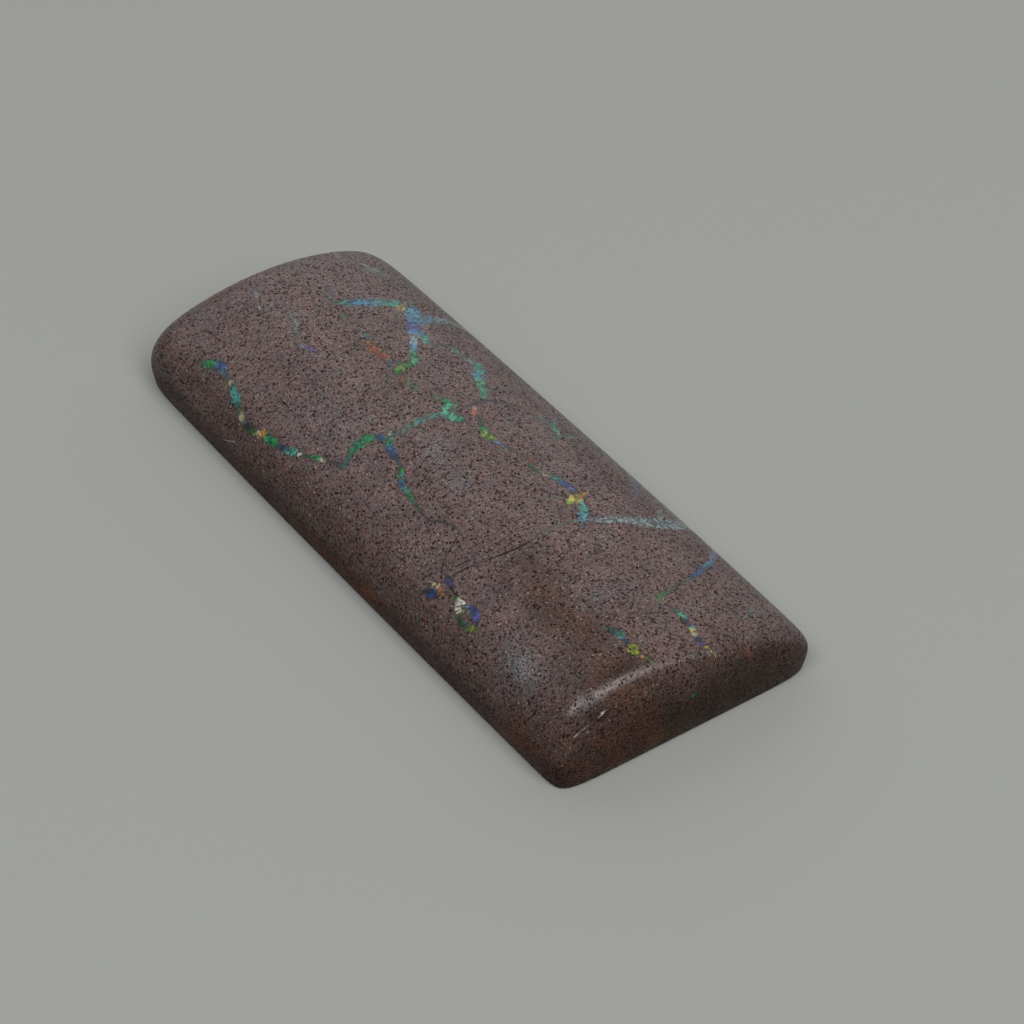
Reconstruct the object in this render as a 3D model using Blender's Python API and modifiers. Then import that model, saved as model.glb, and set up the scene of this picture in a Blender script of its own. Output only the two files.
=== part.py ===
# Polished tablet of boulder opal: one natural stone, sawn flat underneath and domed on top.
# Metres, +Z up. The origin is on the underside, below the middle of the stone.
# +X runs along the stone to its square end and -X to its round end. -Y is its front side.

import bmesh
import bpy
from mathutils import Vector

MM = 0.001

# Size of the finished stone
LENGTH = 34.0 * MM
WIDTH = 13.6 * MM
HEIGHT = 4.9 * MM

# Outline from above, as corners of the cage: both ends slant a little the same way
ROUND_END_FRONT = -17.2 * MM
ROUND_END_BACK = -16.75 * MM
SQUARE_END_FRONT = 16.6 * MM
SQUARE_END_BACK = 17.35 * MM
ROUND_END_HALF_WIDTH = 6.25 * MM
SQUARE_END_HALF_WIDTH = 6.05 * MM
ROUND_END_BOW = 0.35 * MM
SIDE_BOW = 0.1 * MM

# Widths of the cage's outer cells, which set how softly the form turns there
ROUND_END_BAND = 3.15 * MM
SQUARE_END_BAND = 1.05 * MM
SIDE_BAND = 2.6 * MM

# Profile: the wall leans out to the girdle, then in over the shoulder to the crown
BASE_INSET = 0.22 * MM
GIRDLE_HEIGHT = 1.55 * MM
SIDE_SHOULDER_INSET = 0.85 * MM
SIDE_SHOULDER_HEIGHT = 3.0 * MM
CROWN_FLANK_HEIGHT = 4.55 * MM
CROWN_HEIGHT = 5.1 * MM

# Ridge over each end, on the cage's five lines from the front side to the back. The square
# end stands full at the front and falls away towards the back.
ROUND_RIDGE_HEIGHTS = (2.85 * MM, 3.9 * MM, 4.25 * MM, 3.9 * MM, 2.85 * MM)
ROUND_RIDGE_INSETS = (0.7 * MM, 0.7 * MM, 0.7 * MM, 0.7 * MM, 0.7 * MM)
SQUARE_RIDGE_HEIGHTS = (3.8 * MM, 4.5 * MM, 4.25 * MM, 3.5 * MM, 2.5 * MM)
SQUARE_RIDGE_INSETS = (1.0 * MM, 0.7 * MM, 0.35 * MM, 0.12 * MM, 0.1 * MM)
SQUARE_ROW_HEIGHTS = (3.75 * MM, 4.75 * MM, 4.75 * MM, 3.9 * MM, 2.8 * MM)  # one row further in
SQUARE_ROW_FROM = 0.9  # share of the half length

# How sharply the form turns, from 0 to 1
SQUARE_RIDGE_CREASES = (0.05, 0.1, 0.35, 0.45)  # between those lines
FRONT_SHOULDER_CREASE = 0.2

# Places of the cage's inner stations along the length
MIDDLE_STATIONS = (-7.5 * MM, 0.5 * MM, 8.5 * MM)

SMOOTHING_LEVELS = 3
BASE_BEVEL = 0.12 * MM
BASE_BEVEL_ANGLE = 0.9  # radians; only the base edge is sharper than this
SMOOTH_ANGLE = 0.7

STONE_COLOUR = (0.105, 0.066, 0.056, 1.0)
STONE_ROUGHNESS = 0.32


def clear_scene():
    for old in list(bpy.data.objects):
        bpy.data.objects.remove(old)


def polished_ironstone():
    material = bpy.data.materials.new("polished_ironstone")
    material.use_nodes = True
    shader = material.node_tree.nodes["Principled BSDF"]
    shader.inputs["Base Color"].default_value = STONE_COLOUR
    shader.inputs["Roughness"].default_value = STONE_ROUGHNESS
    shader.inputs["Metallic"].default_value = 0.0
    material.diffuse_color = STONE_COLOUR
    return material


def between(low, high, share):
    return low + (high - low) * share


def half_width(along):
    """Half the cage's width, from the round end (along = -1) to the square end (along = 1)."""
    return between(ROUND_END_HALF_WIDTH, SQUARE_END_HALF_WIDTH, (along + 1) / 2)


def outline_point(along, across):
    """Place on the plan, with along and across running from -1 to 1 between ends and sides."""
    back_share = (across + 1) / 2
    bow = ROUND_END_BOW * (1 - across**2)
    start = between(ROUND_END_FRONT, ROUND_END_BACK, back_share) - bow
    end = between(SQUARE_END_FRONT, SQUARE_END_BACK, back_share)
    side = half_width(along) + SIDE_BOW * (1 - along**2)
    return between(start, end, (along + 1) / 2), across * side


def line_across(across):
    """Which of the cage's five lines along the stone this is, counted from the front."""
    if abs(across) > 0.99:
        return 0 if across < 0 else 4
    return 2 + (across > 0.01) - (across < -0.01)


def shoulder_height(along, across):
    """Height of the cage's top corners: low along the sides, high along the middle."""
    line = line_across(across)
    if along < -0.99:
        return ROUND_RIDGE_HEIGHTS[line]
    if along > 0.99:
        return SQUARE_RIDGE_HEIGHTS[line]
    if along > SQUARE_ROW_FROM:
        return SQUARE_ROW_HEIGHTS[line]
    if line in (0, 4):
        return SIDE_SHOULDER_HEIGHT
    return CROWN_HEIGHT if line == 2 else CROWN_FLANK_HEIGHT


def cage_point(along, across, level):
    """Corner of the cage: level 0 is the base, 1 the girdle and 2 the shoulder and crown."""
    x, y = outline_point(along, across)
    if level == 0:
        return Vector((x - along * BASE_INSET, y - across * BASE_INSET, 0.0))
    if level == 1:
        return Vector((x, y, GIRDLE_HEIGHT))
    insets = ROUND_RIDGE_INSETS if along < 0 else SQUARE_RIDGE_INSETS
    x -= along * insets[line_across(across)]
    y -= across * SIDE_SHOULDER_INSET
    return Vector((x, y, shoulder_height(along, across)))


def stations_along():
    """Cuts across the length, as shares from -1 to 1."""
    half = LENGTH / 2
    middle = [place / half for place in MIDDLE_STATIONS]
    return [-1 + ROUND_END_BAND / half, *middle, 1 - SQUARE_END_BAND / half]


def cut(cage, place, normal):
    everything = cage.verts[:] + cage.edges[:] + cage.faces[:]
    bmesh.ops.bisect_plane(cage, geom=everything, plane_co=place, plane_no=normal)


def edge_crease(start, end):
    """How sharp an edge of the box from -1 to 1 stays in the smooth surface."""
    if start.z == end.z == -1:
        return 1.0
    if not start.z == end.z == 1:
        return 0.0
    if start.x == end.x == 1:
        return SQUARE_RIDGE_CREASES[min(line_across(start.y), line_across(end.y))]
    return FRONT_SHOULDER_CREASE if start.y == end.y == -1 else 0.0


def stone_cage():
    """A box from -1 to 1, cut where the form turns, then drawn out into the domed tablet."""
    cage = bmesh.new()
    bmesh.ops.create_cube(cage, size=2.0)
    for along in stations_along():
        cut(cage, (along, 0, 0), (1, 0, 0))
    band = 2 * SIDE_BAND / (ROUND_END_HALF_WIDTH + SQUARE_END_HALF_WIDTH)
    for across in (-1 + band, 0.0, 1 - band):
        cut(cage, (0, across, 0), (0, 1, 0))
    cut(cage, (0, 0, 0), (0, 0, 1))
    underside = [face for face in cage.faces if face.normal.z < -0.9]
    bmesh.ops.dissolve_faces(cage, faces=underside, use_verts=True)
    crease = cage.edges.layers.float.new("crease_edge")
    for edge in cage.edges:
        edge[crease] = edge_crease(*(end.co for end in edge.verts))
    for corner in cage.verts:
        along, across, height = corner.co
        corner.co = cage_point(along, across, round(height) + 1)
    return cage


def surface_bounds(stone):
    """Lowest and highest corner of the surface that the modifiers leave."""
    bpy.context.view_layer.update()
    smooth = stone.evaluated_get(bpy.context.evaluated_depsgraph_get())
    points = [point.co.copy() for point in smooth.to_mesh().vertices]
    smooth.to_mesh_clear()
    low = Vector(min(point[axis] for point in points) for axis in range(3))
    high = Vector(max(point[axis] for point in points) for axis in range(3))
    return low, high


def fit_to_size(stone):
    """Scales the cage so that the smooth surface has the stone's size and stands on the origin."""
    low, high = surface_bounds(stone)
    foot = Vector(((low.x + high.x) / 2, (low.y + high.y) / 2, low.z))
    for corner in stone.data.vertices:
        for axis, size in enumerate((LENGTH, WIDTH, HEIGHT)):
            scale = size / (high[axis] - low[axis])
            corner.co[axis] = (corner.co[axis] - foot[axis]) * scale


def opal_stone():
    cage = stone_cage()
    mesh = bpy.data.meshes.new("opal_stone")
    cage.to_mesh(mesh)
    cage.free()
    mesh.materials.append(polished_ironstone())
    stone = bpy.data.objects.new("opal_stone", mesh)
    collection = bpy.data.collections.new("Boulder opal cabochon")
    bpy.context.scene.collection.children.link(collection)
    collection.objects.link(stone)

    smoothing = stone.modifiers.new("Smoothing", "SUBSURF")
    smoothing.levels = SMOOTHING_LEVELS
    smoothing.render_levels = SMOOTHING_LEVELS
    fit_to_size(stone)

    bevel = stone.modifiers.new("Base edge", "BEVEL")
    bevel.width = BASE_BEVEL
    bevel.segments = 2
    bevel.limit_method = "ANGLE"
    bevel.angle_limit = BASE_BEVEL_ANGLE

    mesh.shade_smooth()
    mesh.set_sharp_from_angle(angle=SMOOTH_ANGLE)
    return stone


clear_scene()
opal_stone()
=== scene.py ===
import math

import bmesh
import bpy
import numpy as np
from mathutils import Matrix, Vector


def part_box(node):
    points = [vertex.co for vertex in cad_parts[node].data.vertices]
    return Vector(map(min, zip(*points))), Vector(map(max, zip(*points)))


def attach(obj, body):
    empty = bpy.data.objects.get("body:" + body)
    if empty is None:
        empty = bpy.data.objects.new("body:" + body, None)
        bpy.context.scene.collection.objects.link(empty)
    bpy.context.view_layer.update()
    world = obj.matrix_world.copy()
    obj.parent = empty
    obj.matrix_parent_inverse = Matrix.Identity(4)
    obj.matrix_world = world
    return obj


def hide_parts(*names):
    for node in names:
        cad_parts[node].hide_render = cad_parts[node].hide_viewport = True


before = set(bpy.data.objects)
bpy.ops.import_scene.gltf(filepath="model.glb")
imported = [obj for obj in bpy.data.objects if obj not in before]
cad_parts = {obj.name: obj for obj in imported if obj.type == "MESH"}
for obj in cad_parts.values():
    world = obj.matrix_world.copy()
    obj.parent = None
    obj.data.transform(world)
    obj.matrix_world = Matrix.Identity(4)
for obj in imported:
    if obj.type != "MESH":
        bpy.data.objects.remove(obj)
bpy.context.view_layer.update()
mm = 0.001

# The stone's own form in mm, the same driving sizes as the solid's
stoneForm = {
    "roundEnd": (-17.2, -16.75),  # x of the front and the back corner
    "squareEnd": (16.6, 17.35),
    "halfWidth": (6.25, 6.05),  # at the round and at the square end
    "roundEndBow": 0.35,
    "sideBow": 0.1,
    "roundBand": 3.15,
    "squareBand": 1.05,
    "sideBand": 2.6,
    "stations": (-7.5, 0.5, 8.5),
    "baseInset": 0.22,
    "girdle": 1.55,
    "sideInset": 0.85,
    "roundInset": (0.7, 0.7, 0.7, 0.7, 0.7),  # of each end's ridge, front to back
    "squareInset": (1.0, 0.7, 0.35, 0.12, 0.1),
    "sideShoulder": 3.0,
    "roundRidge": (2.85, 3.9, 4.25, 3.9, 2.85),  # heights over each end, front to back
    "squareRidge": (3.8, 4.5, 4.25, 3.5, 2.5),
    "squareRow": (3.75, 4.75, 4.75, 3.9, 2.8),  # one row further in
    "ridgeCrease": (0.05, 0.1, 0.35, 0.45),  # over the square end, front to back
    "frontCrease": 0.2,  # along the front shoulder
    "crownFlank": 4.55,
    "crown": 5.1,
    "formLevels": 3,
    "fineLevels": 2,
    "baseBevel": 0.12,
    "longEdge": 0.7,  # lengthwise edges above this are halved on the top
    "topFrom": 2.9,  # mm above the floor
    "touch": 1e-6,  # metres within which a corner lies on a face of the block
}

def deselectAll():
    bpy.ops.object.select_all(action="DESELECT")


def pick(piece, mode, wanted):
    bpy.ops.mesh.select_mode(type=mode)
    bpy.ops.mesh.select_all(action="DESELECT")
    work = bmesh.from_edit_mesh(piece.data)
    for element in {"VERT": work.verts, "EDGE": work.edges, "FACE": work.faces}[mode]:
        if wanted(element):
            element.select_set(True)
    bmesh.update_edit_mesh(piece.data)


def between(pair, share):
    return pair[0] + (pair[1] - pair[0]) * share


# Place of a cage corner: along and across run from -1 to 1, and level is 0 at the base, 1 at
# the girdle and 2 on top
def cagePoint(along, across, level):
    form = stoneForm
    back = (across + 1) / 2
    start = between(form["roundEnd"], back) - form["roundEndBow"] * (1 - across**2)
    x = between((start, between(form["squareEnd"], back)), (along + 1) / 2)
    halfWidth = between(form["halfWidth"], (along + 1) / 2)
    y = across * (halfWidth + form["sideBow"] * (1 - along**2))
    if level == 0:
        return Vector((x - along * form["baseInset"], y - across * form["baseInset"], 0)) * mm
    if level == 1:
        return Vector((x, y, form["girdle"])) * mm
    end = "square" if along > 0 else "round"
    onEnd, onSide, onMiddle = abs(along) > 0.99, abs(across) > 0.99, abs(across) < 0.01
    column = 2 + (2 * round(across) if onSide else (across > 0.01) - (across < -0.01))
    inset = form[end + "Inset"][column]
    if onEnd:
        height = form[end + "Ridge"][column]
    elif along > 0.9:
        height = form["squareRow"][column]
    elif onSide:
        height = form["sideShoulder"]
    else:
        height = form["crown"] if onMiddle else form["crownFlank"]
    return Vector((x - along * inset, y - across * form["sideInset"], height)) * mm


def smoothPiece(piece, levels):
    smoothing = piece.modifiers.new("Smoothing", "SUBSURF")
    smoothing.levels = smoothing.render_levels = levels
    bpy.ops.object.modifier_apply(modifier=smoothing.name)


def fitToBox(piece, low, high):
    points = np.array([corner.co for corner in piece.data.vertices])
    nowLow, nowHigh = Vector(points.min(0)), Vector(points.max(0))
    scale = [(high[axis] - low[axis]) / (nowHigh[axis] - nowLow[axis]) for axis in range(3)]
    bpy.ops.object.mode_set(mode="EDIT")
    bpy.ops.mesh.select_all(action="SELECT")
    bpy.ops.transform.translate(value=low - nowLow)
    bpy.ops.transform.resize(value=scale, center_override=low)
    bpy.ops.object.mode_set(mode="OBJECT")


def makeStone():
    low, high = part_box("opal_stone")
    half = (high - low) / 2
    deselectAll()
    bpy.ops.mesh.primitive_cube_add(size=1, location=(low + high) / 2, scale=high - low)
    stone = bpy.context.object
    stone.name = stone.data.name = "polishedStone"
    bpy.ops.object.transform_apply(location=True, rotation=True, scale=True)

    # Cut the block where the form turns
    form = stoneForm
    touch = form["touch"]
    bpy.ops.object.mode_set(mode="EDIT")
    stations = [x * mm for x in form["stations"]]
    xCuts = [low.x + form["roundBand"] * mm, *stations, high.x - form["squareBand"] * mm]
    band = form["sideBand"] / (sum(form["halfWidth"]) / 2)
    cuts = [((x, 0, 0), (1, 0, 0)) for x in xCuts]
    cuts += [((0, share * half.y, 0), (0, 1, 0)) for share in (band - 1, 0, 1 - band)]
    cuts += [((0, 0, half.z), (0, 0, 1))]
    for spot, normal in cuts:
        bpy.ops.mesh.select_all(action="SELECT")
        bpy.ops.mesh.bisect(plane_co=spot, plane_no=normal)
    pick(stone, "FACE", lambda face: face.normal.z < -0.9)
    bpy.ops.mesh.dissolve_faces(use_verts=True)

    # Edges that turn more sharply: round the base, over the square end and along the front
    def ends(edge, test):
        return all(test(corner.co) for corner in edge.verts)

    def crease(value, wanted):
        pick(stone, "EDGE", wanted)
        bpy.ops.transform.edge_crease(value=value)

    def onTop(edge):
        return ends(edge, lambda spot: spot.z > high.z - touch)

    def overSquareEnd(edge, nearer, farther):
        middle = sum(corner.co.y for corner in edge.verts) / 2
        onEnd = ends(edge, lambda spot: spot.x > high.x - touch)
        return onTop(edge) and onEnd and nearer < middle < farther

    def alongFront(edge):
        return onTop(edge) and ends(edge, lambda spot: spot.y < low.y + touch)

    crease(1, lambda edge: ends(edge, lambda spot: spot.z < low.z + touch))
    lines = (-half.y, (band - 1) * half.y, 0, (1 - band) * half.y, half.y)
    for value, nearer, farther in zip(form["ridgeCrease"], lines, lines[1:]):
        crease(value, lambda edge: overSquareEnd(edge, nearer, farther))
    crease(form["frontCrease"], alongFront)

    # Draw each corner of the cage to its place
    work = bmesh.from_edit_mesh(stone.data)
    starts = [corner.co.copy() for corner in work.verts]
    for start in starts:
        target = cagePoint(start.x / half.x, start.y / half.y, round(start.z / half.z))
        pick(stone, "VERT", lambda corner: (corner.co - start).length < 1e-7)
        bpy.ops.transform.translate(value=target - start)
    bpy.ops.object.mode_set(mode="OBJECT")
    smoothPiece(stone, form["formLevels"])

    # The edge underneath is ground off, and the top gets shorter cells
    def roundBase(edge):
        walls = max(face.normal.z for face in edge.link_faces) > -0.9
        return walls and ends(edge, lambda spot: spot.z < touch)

    def longOnTop(edge):
        length = abs(edge.verts[0].co.x - edge.verts[1].co.x)
        above = ends(edge, lambda spot: spot.z > form["topFrom"] * mm)
        return above and length > form["longEdge"] * mm

    bpy.ops.object.mode_set(mode="EDIT")
    pick(stone, "EDGE", roundBase)
    bpy.ops.mesh.bevel(offset=form["baseBevel"] * mm, segments=2)
    pick(stone, "EDGE", longOnTop)
    bpy.ops.mesh.subdivide(number_cuts=1)
    bpy.ops.mesh.select_all(action="SELECT")
    bpy.ops.transform.edge_crease(value=-1)
    bpy.ops.object.mode_set(mode="OBJECT")
    smoothPiece(stone, form["fineLevels"])
    fitToBox(stone, low, high)
    bpy.ops.object.shade_smooth()
    return stone


# Colours as the eye sees them on the stone, 0 to 255
tones = {
    "leaf": (36, 104, 60),
    "emerald": (30, 118, 80),
    "deepGreen": (34, 66, 48),
    "moss": (70, 88, 50),
    "lime": (110, 132, 58),
    "acid": (116, 130, 34),
    "straw": (172, 156, 84),
    "amber": (170, 118, 62),
    "peach": (150, 104, 78),
    "rust": (110, 66, 50),
    "ember": (126, 78, 56),
    "redBrown": (54, 28, 23),
    "cream": (146, 138, 116),
    "white": (172, 168, 158),
    "teal": (64, 122, 112),
    "tealDark": (38, 74, 72),
    "tealGrey": (78, 98, 92),
    "seafoam": (82, 140, 118),
    "sky": (76, 120, 142),
    "blue": (48, 88, 126),
    "violet": (74, 82, 134),
    "navy": (40, 50, 98),
    "ink": (34, 36, 48),
    "smoke": (72, 74, 72),
    "pale": (122, 138, 140),
    "paleGreen": (122, 136, 118),
    "paleViolet": (110, 106, 134),
    "dark": (34, 30, 28),
}
# Seams of opal, and one painted sheen line along the back shoulder. Each point is x, y and half
# width in mm on the stone's plan, then its tone.
# Seams that meet are on different layers.
seams = {
    "leftRiver": {"layer": 0, "strength": 1.0, "route": [
        (-12.55, -5.64, 0.05, "deepGreen"), (-12.25, -5.53, 0.19, "leaf"),
        (-11.98, -5.40, 0.17, "leaf"), (-11.75, -5.27, 0.18, "blue"), (-11.50, -5.22, 0.19, "navy"),
        (-11.22, -5.26, 0.14, "sky"), (-10.90, -5.36, 0.09, "ink"), (-10.60, -5.38, 0.08, "smoke"),
        (-10.35, -5.38, 0.08, "cream"), (-10.15, -5.44, 0.11, "tealDark"),
        (-9.90, -5.54, 0.16, "teal"), (-9.50, -5.66, 0.18, "teal"),
        (-9.15, -5.82, 0.12, "tealDark"), (-8.92, -5.93, 0.10, "moss"),
        (-8.60, -6.00, 0.13, "cream"), (-8.28, -6.04, 0.08, "smoke"), (-7.95, -6.08, 0.09, "ink"),
        (-7.62, -6.07, 0.08, "deepGreen"), (-7.35, -6.04, 0.10, "moss"),
        (-7.12, -5.99, 0.12, "cream"), (-6.92, -5.92, 0.13, "amber"), (-6.65, -5.90, 0.14, "leaf"),
        (-6.25, -5.86, 0.15, "emerald"), (-5.92, -5.84, 0.12, "leaf"), (-5.66, -5.80, 0.06, "ink"),
        (-5.38, -5.75, 0.09, "navy"), (-5.05, -5.68, 0.13, "teal"), (-4.65, -5.57, 0.12, "teal"),
        (-4.45, -5.50, 0.08, "white"), (-4.22, -5.44, 0.04, "dark"),
        (-3.96, -5.34, 0.05, "deepGreen"), (-3.70, -5.22, 0.09, "leaf"),
        (-3.42, -5.12, 0.10, "leaf"), (-3.20, -5.05, 0.09, "white"), (-2.98, -4.97, 0.05, "dark"),
        (-2.72, -4.86, 0.05, "dark"), (-2.45, -4.75, 0.07, "ink"), (-2.12, -4.62, 0.15, "tealDark"),
        (-2.24, -4.38, 0.12, "tealDark"), (-2.36, -4.15, 0.11, "deepGreen"),
        (-2.42, -3.90, 0.19, "leaf"), (-2.44, -3.60, 0.23, "emerald"), (-2.40, -3.28, 0.21, "leaf"),
        (-2.32, -3.04, 0.16, "leaf"), (-2.14, -2.86, 0.13, "tealDark"),
        (-1.94, -2.76, 0.15, "blue"), (-1.78, -2.66, 0.10, "tealDark"),
    ]},
    "downArm": {"layer": 1, "strength": 1.0, "route": [
        (-1.90, -2.22, 0.05, "cream"), (-1.70, -2.42, 0.13, "seafoam"),
        (-1.45, -2.66, 0.15, "leaf"), (-1.18, -2.80, 0.13, "blue"), (-0.90, -2.86, 0.18, "violet"),
        (-0.62, -2.92, 0.15, "navy"), (-0.36, -2.96, 0.07, "ink"), (-0.05, -3.04, 0.06, "tealDark"),
        (0.20, -3.20, 0.11, "leaf"), (0.50, -3.36, 0.13, "teal"), (0.85, -3.52, 0.13, "navy"),
        (1.20, -3.62, 0.12, "teal"), (1.60, -3.68, 0.09, "leaf"), (2.10, -3.75, 0.07, "tealDark"),
        (2.50, -3.82, 0.05, "deepGreen"), (2.80, -3.86, 0.028, "dark"), (3.10, -3.86, 0.03, "dark"),
        (3.42, -3.79, 0.035, "dark"), (3.75, -3.58, 0.04, "dark"), (4.10, -3.42, 0.028, "dark"),
        (4.45, -3.30, 0.02, "dark"), (4.80, -3.26, 0.0, "dark"),
    ]},
    "upArm": {"layer": 2, "strength": 0.75, "route": [
        (-1.62, -2.30, 0.06, "tealDark"), (-1.56, -1.95, 0.12, "tealGrey"),
        (-1.60, -1.50, 0.14, "tealGrey"), (-1.56, -1.00, 0.15, "teal"),
        (-1.50, -0.50, 0.15, "tealGrey"), (-1.40, -0.10, 0.14, "teal"),
        (-1.24, 0.22, 0.15, "seafoam"),
    ]},
    "star": {"layer": 0, "strength": 1.0, "route": [
        (-2.60, 0.58, 0.04, "moss"), (-2.30, 0.66, 0.11, "tealGrey"), (-2.05, 0.84, 0.12, "leaf"),
        (-1.86, 0.84, 0.18, "emerald"), (-1.60, 0.62, 0.20, "seafoam"),
        (-1.32, 0.42, 0.19, "seafoam"), (-1.08, 0.32, 0.18, "teal"), (-0.84, 0.44, 0.20, "seafoam"),
        (-0.58, 0.62, 0.15, "emerald"), (-0.38, 0.74, 0.05, "smoke"), (-0.05, 0.80, 0.025, "smoke"),
        (0.30, 0.84, 0.0, "smoke"),
    ]},
    "blueStreak": {"layer": 0, "strength": 0.95, "route": [
        (-10.72, 0.82, 0.10, "deepGreen"), (-10.56, 1.12, 0.20, "teal"),
        (-10.40, 1.50, 0.23, "blue"), (-10.20, 1.92, 0.27, "sky"), (-10.02, 2.32, 0.28, "sky"),
        (-9.86, 2.72, 0.29, "teal"), (-9.70, 3.12, 0.30, "teal"), (-9.58, 3.52, 0.26, "teal"),
        (-9.40, 3.85, 0.08, "smoke"),
    ]},
    "strawPatch": {"layer": 2, "strength": 0.7, "route": [
        (-9.50, 3.75, 0.12, "cream"), (-9.28, 3.45, 0.22, "straw"), (-9.02, 3.15, 0.12, "cream"),
    ]},
    "blueFork": {"layer": 1, "strength": 0.95, "route": [
        (-9.10, 4.05, 0.16, "sky"), (-8.85, 3.86, 0.32, "sky"), (-8.50, 3.62, 0.36, "sky"),
        (-8.15, 3.36, 0.36, "sky"), (-7.80, 3.10, 0.34, "violet"), (-7.45, 2.86, 0.30, "violet"),
        (-7.12, 2.70, 0.24, "sky"), (-6.80, 2.48, 0.19, "pale"), (-6.50, 2.22, 0.16, "pale"),
        (-6.18, 1.95, 0.15, "sky"), (-5.80, 1.70, 0.15, "teal"), (-5.42, 1.50, 0.16, "leaf"),
        (-5.12, 1.32, 0.17, "seafoam"), (-4.98, 1.08, 0.13, "leaf"), (-5.06, 0.80, 0.15, "leaf"),
        (-5.00, 0.50, 0.21, "lime"), (-4.88, 0.24, 0.19, "leaf"), (-4.92, 0.00, 0.06, "moss"),
    ]},
    "skyPatch": {"layer": 2, "strength": 0.7, "route": [
        (-7.75, 3.35, 0.20, "sky"), (-7.92, 3.80, 0.30, "sky"), (-8.05, 4.30, 0.34, "sky"),
        (-8.10, 4.85, 0.30, "pale"), (-8.00, 5.35, 0.26, "pale"), (-7.85, 5.90, 0.26, "paleGreen"),
        (-7.80, 6.40, 0.20, "paleGreen"),
    ]},
    "backRiver": {"layer": 0, "strength": 0.9, "route": [
        (-7.10, 2.98, 0.14, "blue"), (-6.70, 2.95, 0.20, "teal"), (-6.25, 2.86, 0.18, "seafoam"),
        (-5.94, 3.00, 0.10, "smoke"), (-5.78, 3.36, 0.07, "ink"), (-5.58, 3.70, 0.10, "smoke"),
        (-5.22, 3.66, 0.18, "seafoam"), (-4.92, 3.76, 0.09, "smoke"), (-4.60, 3.76, 0.08, "smoke"),
        (-4.30, 3.88, 0.14, "pale"), (-4.00, 4.02, 0.20, "teal"), (-3.70, 3.90, 0.24, "teal"),
        (-3.40, 3.74, 0.25, "teal"), (-3.10, 3.50, 0.25, "sky"), (-2.80, 3.26, 0.22, "teal"),
        (-2.52, 3.14, 0.19, "seafoam"), (-2.26, 3.04, 0.19, "leaf"), (-2.00, 2.90, 0.17, "seafoam"),
        (-1.75, 2.75, 0.14, "leaf"), (-1.50, 2.60, 0.13, "seafoam"), (-1.28, 2.44, 0.11, "ink"),
        (-1.16, 2.10, 0.08, "ink"), (-1.20, 1.60, 0.06, "dark"), (-1.16, 1.12, 0.0, "dark"),
    ]},
    "backRiverFork": {"layer": 1, "strength": 0.8, "route": [
        (-1.20, 2.50, 0.06, "ink"), (-1.02, 2.80, 0.07, "ink"), (-0.80, 3.10, 0.08, "ink"),
        (-0.52, 3.40, 0.08, "ink"), (-0.28, 3.76, 0.05, "smoke"), (0.05, 4.10, 0.03, "smoke"),
    ]},
    "middleChain": {"layer": 1, "strength": 1.0, "route": [
        (-1.05, 1.72, 0.06, "cream"), (-0.84, 1.56, 0.12, "peach"), (-0.60, 1.42, 0.11, "peach"),
        (-0.36, 1.40, 0.05, "dark"), (0.00, 1.34, 0.08, "deepGreen"),
        (0.26, 1.20, 0.10, "deepGreen"), (0.52, 1.06, 0.14, "leaf"), (0.82, 1.00, 0.17, "lime"),
        (1.12, 0.98, 0.19, "lime"), (1.36, 1.04, 0.11, "moss"), (1.56, 1.06, 0.11, "sky"),
        (1.80, 1.12, 0.07, "paleViolet"), (2.06, 1.25, 0.04, "ink"), (2.42, 1.36, 0.045, "ink"),
        (2.76, 1.42, 0.05, "moss"), (3.02, 1.52, 0.05, "redBrown"), (3.22, 1.66, 0.14, "rust"),
        (3.46, 1.62, 0.18, "rust"), (3.66, 1.40, 0.10, "deepGreen"),
        (3.92, 1.32, 0.10, "deepGreen"), (4.22, 1.46, 0.08, "moss"), (4.46, 1.56, 0.08, "cream"),
        (4.70, 1.70, 0.12, "tealDark"), (4.96, 1.80, 0.15, "teal"), (5.22, 1.86, 0.13, "blue"),
        (5.50, 1.98, 0.14, "navy"), (5.76, 1.98, 0.12, "violet"), (6.00, 1.86, 0.06, "ink"),
        (6.20, 1.80, 0.04, "dark"),
    ]},
    "strawBlock": {"layer": 0, "strength": 1.0, "route": [
        (6.36, 2.16, 0.08, "amber"), (6.40, 1.90, 0.21, "straw"), (6.44, 1.60, 0.22, "straw"),
        (6.52, 1.36, 0.16, "lime"), (6.62, 1.22, 0.05, "lime"),
    ]},
    "tealTail": {"layer": 2, "strength": 1.0, "route": [
        (6.74, 1.82, 0.08, "seafoam"), (7.00, 1.66, 0.17, "teal"), (7.26, 1.48, 0.18, "teal"),
        (7.50, 1.24, 0.15, "sky"), (7.72, 1.04, 0.08, "sky"),
    ]},
    "paleStreak": {"layer": 0, "strength": 0.8, "route": [
        (7.72, 1.30, 0.06, "pale"), (7.95, 1.60, 0.13, "paleViolet"), (8.14, 2.00, 0.15, "pale"),
        (8.30, 2.40, 0.17, "pale"), (8.46, 2.80, 0.20, "pale"), (8.66, 3.30, 0.26, "pale"),
        (8.86, 3.80, 0.32, "pale"), (9.00, 4.30, 0.37, "pale"), (9.10, 4.80, 0.36, "pale"),
        (9.05, 5.30, 0.32, "pale"), (8.90, 5.90, 0.24, "paleGreen"),
        (8.70, 6.40, 0.12, "paleGreen"),
    ]},
    "paleFork": {"layer": 1, "strength": 0.6, "route": [
        (8.95, 4.40, 0.12, "pale"), (8.60, 4.70, 0.14, "pale"), (8.25, 4.95, 0.12, "pale"),
        (7.95, 5.30, 0.05, "pale"),
    ]},
    "faintFall": {"layer": 1, "strength": 0.45, "route": [
        (7.62, 0.92, 0.06, "teal"), (7.52, 0.50, 0.08, "tealGrey"), (7.46, 0.00, 0.08, "tealGrey"),
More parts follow.
